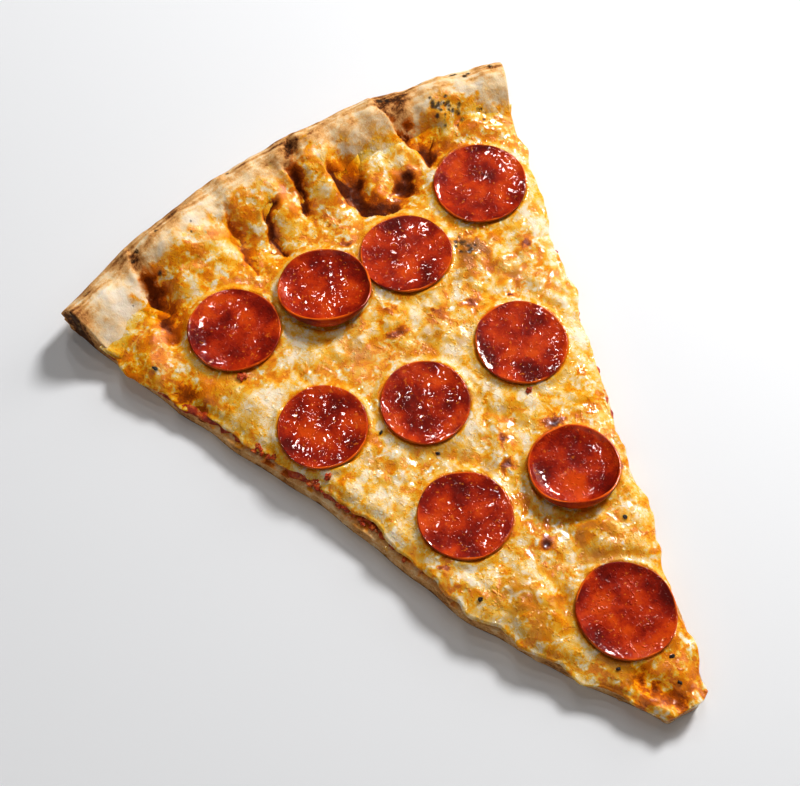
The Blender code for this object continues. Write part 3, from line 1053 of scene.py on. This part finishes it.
def make_crust():
    """The dough: the top is fine over the rim, and rings lead down its sides to the flat underside."""
    rows = BODY_ROWS + RIM_ROWS
    item, across, share, ring = shell("dough", CRUST_COLUMNS, rows, CRUST_RINGS, dough_finish())
    row = share * rows
    along = np.where(row <= BODY_ROWS, row / BODY_ROWS, 1.0 + (row - BODY_ROWS) / RIM_ROWS)
    x, y = place(across, along)
    radius, angle = polar(x, y)
    inwards = outer_radius(angle) - radius
    high = dough_top(x, y) + dough_relief(x, y)

    down = ring / CRUST_RINGS
    at_rim = np.clip(along - 1.0, 0.0, 1.0) ** 3
    curve = 1.0 - np.sqrt(np.clip(1.0 - down**2, 0.0, 1.0))
    pull = 0.0045 * curve * at_rim
    height = high * (1.0 - down)
    crumb = 0.0004 * noise_at(x / 0.0026, y / 0.0026, height / 0.0016)
    crumb += 0.0002 * noise_at(x / 0.0011, y / 0.0011, height / 0.0009)
    crumb *= smooth_step(0.0, 0.12, down) * (1.0 - smooth_step(0.85, 1.0, down))
    x = x - pull * (x - PIE_CENTRE_X) / radius + crumb * np.where(across > 0.0, 1.0, -1.0)
    y = y - pull * (y - PIE_CENTRE_Y) / radius + crumb * at_rim
    move_points(item, x, y, height)

    side = smooth_step(0.0, 0.15, down)
    top = 1.0 - side
    cut_side = side * (1.0 - smooth_step(0.6, 1.0, at_rim))
    strip = 1.0 - smooth_step(0.010, 0.014, cheese_radius(angle) - radius)
    edge_band = 1.0 - smooth_step(0.0050, 0.0135, inwards + 0.0026 * ripple(x, y, 0.010, 33.0))
    streaks = noise_at(angle * PIE_RADIUS / 0.0075, radius / 0.0012, 37.0)
    strata = noise_at(x / 0.003, y / 0.003, height / 0.0012)
    left_corner = bump(radians(1.0) + angle + HALF_ANGLE, 0.035) * (inwards < 0.012)
    baked = 0.25 + 0.14 * ripple(x, y, 0.012, 31.0) + 0.13 * ripple(x, y, 0.0045, 35.0)
    baked += 0.09 * ripple(x, y, 0.0018, 39.0) + edge_band * (0.28 + 0.26 * streaks)
    # Painted shade browns the bare dough in the folds, and the paler marks are flour with painted light in
    # them
    baked += 0.34 * folds(x, y)[1] - 0.24 * marks(x, y, FLOUR_AND_LIGHT, 0.3) + 0.26 * marks(x, y, BROWNED, 0.4)
    baked += 0.28 * side * at_rim + 0.30 * left_corner + cut_side * (0.30 + 0.12 * strata)
    baked += 0.20 * smooth_step(0.8, 1.0, down) + 0.20 * (1.0 - strip) * top

    line = bump(path_distance(x, y, SCORCHED_LINE)[0], 0.0007)
    line *= smooth_step(-0.5, 0.3, ripple(x, y, 0.004, 43.0))
    scorch = np.maximum(marks(x, y, [*SCORCHED, *clusters()]), line)
    smear = smooth_step(0.0, 0.5, noise_at(x / 0.0035, y / 0.0035, 91.0)) * (1.0 - strip) * top
    coat = coat_share(x, y) * strip * top
    tone = toward(cheese_tone(x, y) + 0.25 * smear, SEAM_TONE, 0.5 * bump(coat - 0.4, 0.35))
    paint(item, baked, tone, np.maximum(coat, 0.75 * smear), scorch * top)
    return item


def make_sauce():
    """The sauce: a thin pulpy layer that ends short of the cuts and sinks into the dough at the rim."""
    item, across, along, inset, ring = layer("sauce_layer", SAUCE_GRID, sauce_finish())
    flow = PIE_RADIUS * along
    ragged = 0.0004 + 0.0012 * noise_at(flow / 0.006, across * 3.0, 3.5)
    ragged += 0.0008 * noise_at(flow / 0.0022, across * 3.0, 4.5)
    ragged += 0.0032 * (1.0 - smooth_step(0.076, 0.096, flow))
    x, y = place(across * (1.0 - inset), along, SAUCE_SHRINKAGE, ragged)
    dough = dough_top(x, y) + dough_relief(x, y)
    to_cut, to_rim = margins(across, x, y)
    thin = smooth_step(0.0, 0.0022, to_cut)
    sunk = 1.0 - smooth_step(0.004, 0.012, to_rim)
    pulp = 0.00035 * ripple(x, y, 0.0026, 2.2) + 0.0002 * ripple(x, y, 0.0011, 4.2)
    high = dough + (SAUCE + pulp) * (0.25 + 0.75 * thin) - 0.0016 * sunk
    low = dough - 0.0003 - 0.0016 * sunk
    down = np.clip(ring / SIDE_RINGS, 0.0, 1.0)
    move_points(item, x, y, high + (low - high) * down)
    return item


def rolled(reach, radius, roll):
    """Section of a slice of sausage: distance from its middle, height and slope."""
    flat = FLAT_SHARE * radius
    bend = roll * np.maximum(reach - FLAT_SHARE, 0.0) / (1.0 - FLAT_SHARE)
    curve = (radius - flat) / np.sin(np.minimum(roll, pi / 2.0))
    distance = np.where(reach <= FLAT_SHARE, reach * radius, flat + curve * np.sin(bend))
    return distance, ROLL_HEIGHT * curve * (1.0 - np.cos(bend)), bend


def make_pepperoni(number, centre_x, centre_y, radius, rolls, finish):
    """A round slice of sausage, from a ball pressed flat, with its edge rolled up and its top uneven."""
    form = bmesh.new()
    bmesh.ops.create_uvsphere(form, u_segments=128, v_segments=60, radius=1.0)
    item = add_mesh(f"pepperoni_slice_{number:02d}", form, finish)
    x, y, z = points_of(item).T
    turn = np.arctan2(y, x)
    reach = np.clip(np.hypot(x, y), 0.0, 1.0) ** BALL_SPREAD
    level = np.sign(z) * np.abs(z) ** BALL_FLATTENING
    least, most = rolls
    roll = least + (most - least) * (0.5 + 0.5 * np.cos(turn - ROLL_SIDE)) ** 2
    uneven = 0.012 * np.sin(2.0 * turn + number) + 0.006 * np.sin(5.0 * turn + 2.0 * number)
    outline = radius * (1.0 + uneven)
    distance, height, bend = rolled(reach, outline, roll)
    seed = 10.0 * number
    flat_x = reach * np.cos(turn) * radius
    flat_y = reach * np.sin(turn) * radius
    top = smooth_step(0.0, 0.8, level)
    relief = 0.00014 * ripple(flat_x, flat_y, 0.0050, seed)
    relief += 0.00004 * ripple(flat_x, flat_y, 0.0016, seed + 1)
    relief += 0.00003 * ripple(flat_x, flat_y, 0.0008, seed + 2)
    thickness = PEPPERONI_THICKNESS * (1.0 - EDGE_THINNING * smooth_step(0.7, 1.0, reach))
    half = level * thickness / 2.0 + relief * top
    distance = distance - half * np.sin(bend)
    spot_x = centre_x + distance * np.cos(turn)
    spot_y = centre_y + distance * np.sin(turn)
    lift = PEPPERONI_THICKNESS / 2.0 + half * np.cos(bend) + height
    move_points(item, spot_x, spot_y, cheese_seat(spot_x, spot_y) + lift)
    bright = 0.62 + 0.38 * ripple(3.0 * np.cos(turn), 3.0 * np.sin(turn), 2.2, seed + 7)
    border = smooth_step(0.955, 0.995, reach + 0.015 * ripple(flat_x, flat_y, 0.004, seed))
    rim = bright * border + 0.1 * (1.0 - top)
    dark = 0.46 + 0.50 * ripple(flat_x, flat_y, 0.0075, seed + 3)
    dark += 0.15 * ripple(flat_x, flat_y, 0.003, seed + 5)
    paint(item, rim, dark, top)
    return item


def make_lumps(name, places, seed, finish):
    """Small uneven lumps joined in one mesh: each has a place and a size."""
    draw = random.Random(seed)
    form = bmesh.new()
    for spot, size in places:
        made = bmesh.ops.create_icosphere(form, subdivisions=4, radius=1.0)["verts"]
        turn = Matrix.Rotation(draw.uniform(0.0, pi), 3, "Z")
        stretch = draw.uniform(0.6, 0.95)
        offset = Vector((draw.random(), draw.random(), draw.random())) * 50.0
        for vertex in made:
            swell = 1.0 + 0.6 * noise.noise(vertex.co * 1.5 + offset)
            swell += 0.25 * noise.noise(vertex.co * 4.0 + offset)
            shaped = Vector((vertex.co.x, vertex.co.y * stretch, vertex.co.z * LUMP_FLATNESS))
            vertex.co = spot + turn @ (shaped * size * swell)
    item = add_mesh(name, form, finish)
    item.data.shade_smooth()
    return item


def above(surface, x, y, lift):
    """A point that far above a surface."""
    return Vector((x, y, float(surface(np.array([x]), np.array([y]))[0]) + lift))


def dress(item, node):
    """Puts a piece on the part's body, in the place of a node's solid if one is named."""
    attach(item, "root")
    if node:
        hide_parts(node)


sauce = make_sauce()
dress(make_crust(), "crust")
dress(sauce, "sauce")
dress(make_cheese(), "cheese")
meat = pepperoni_finish()
for number, (x, y, radius, rolls) in enumerate(PEPPERONI, start=1):
    dress(make_pepperoni(number, x, y, radius, rolls, meat), f"pepperoni_{number:02d}")

# Pepper specks and tomato pulp
specks = [(above(cheese_surface, x, y, 0.0001), size) for x, y, size in SPECKS]
dress(make_lumps("pepper_specks", specks, 5, speck_finish()), None)

draw = random.Random(17)
lumps = [(above(cheese_surface, x, y, 0.0002), size) for x, y, size in DROPS]
for middle, spread, inset, count, size, height in PULP:
    for _ in range(count):
        radius = draw.gauss(middle, spread)
        from_cut = max(LEAST_INSET, draw.gauss(inset, INSET_SCATTER)) - left_bulge(radius)
        angle = from_cut / radius - HALF_ANGLE
        x, y = on_pie(radius, angle)
        lift = height * (1.0 + 0.5 * draw.random())
        lumps.append((above(dough_top, x, y, lift), size * draw.uniform(0.55, 1.2)))
dress(make_lumps("tomato_lumps", lumps, 9, sauce.data.materials[0]), None)

# Floor, light and camera
FLOOR_SIZE = 6.0
floor_finish = Finish("pale_floor")
floor_finish.set(Base_Color=FLOOR_COLOUR, Roughness=0.6)
bpy.ops.mesh.primitive_plane_add(size=FLOOR_SIZE, location=(0.0, 0.0, 0.0))
floor = bpy.context.object
floor.name = "floor"
floor.data.materials.append(floor_finish.material)

VIEW_AZIMUTH = radians(-34.2)
VIEW_ELEVATION = radians(64.5)
VIEW_DISTANCE = 0.3787
VIEW_TARGET = Vector((-0.0099, 0.0143, 0.0))
FOCAL_PIXELS = 1300.0
FRAME_PIXELS = 800.0
SENSOR_WIDTH = 36.0

# Lights: name, azimuth, elevation, distance, size, power and colour. The three small ones give the
# oil its sharp highlights.
WARM_WHITE = (1.0, 0.98, 0.95)
LIGHTS = (
    ("key", 109.0, 42.0, 1.2, 0.28, 13.6, (1.0, 0.975, 0.94)),
    ("side", 95.0, 24.0, 1.2, 0.60, 2.6, WARM_WHITE),
    ("gleam_1", 152.0, 48.0, 1.2, 0.08, 0.8, WARM_WHITE),
    ("gleam_2", 150.0, 62.0, 1.2, 0.08, 0.8, WARM_WHITE),
    ("gleam_3", 160.0, 76.0, 1.2, 0.08, 0.8, WARM_WHITE),
    ("fill", -70.0, 55.0, 1.5, 1.40, 3.5, (1.0, 0.95, 0.89)),
)
WORLD_COLOUR = (1.0, 0.93, 0.85, 1.0)
WORLD_STRENGTH = 0.12
VIEW_GAMMA = 0.85


def direction(azimuth, elevation):
    """Unit vector towards a place seen at that azimuth (0 is from -Y) and elevation."""
    return Vector((sin(azimuth) * cos(elevation), -cos(azimuth) * cos(elevation), sin(elevation)))


def aim(item, target):
    item.rotation_euler = (target - item.location).to_track_quat("-Z", "Y").to_euler()


camera = bpy.data.objects.new("camera", bpy.data.cameras.new("camera"))
bpy.context.scene.collection.objects.link(camera)
camera.data.sensor_width = SENSOR_WIDTH
camera.data.lens = SENSOR_WIDTH * FOCAL_PIXELS / FRAME_PIXELS
camera.location = VIEW_TARGET + VIEW_DISTANCE * direction(VIEW_AZIMUTH, VIEW_ELEVATION)
aim(camera, VIEW_TARGET)
bpy.context.scene.camera = camera


def add_light(name, azimuth, elevation, distance, size, power, colour):
    data = bpy.data.lights.new(name, "AREA")
    data.shape = "DISK"
    data.size = size
    data.energy = power
    data.color = colour
    light = bpy.data.objects.new(name, data)
    bpy.context.scene.collection.objects.link(light)
    light.location = VIEW_TARGET + distance * direction(radians(azimuth), radians(elevation))
    aim(light, VIEW_TARGET)


for light in LIGHTS:
    add_light(*light)
world = bpy.data.worlds.new("studio")
world.use_nodes = True
background = world.node_tree.nodes["Background"]
background.inputs["Color"].default_value = WORLD_COLOUR
background.inputs["Strength"].default_value = WORLD_STRENGTH
bpy.context.scene.world = world
bpy.context.scene.view_settings.view_transform = "Standard"
bpy.context.scene.view_settings.gamma = VIEW_GAMMA
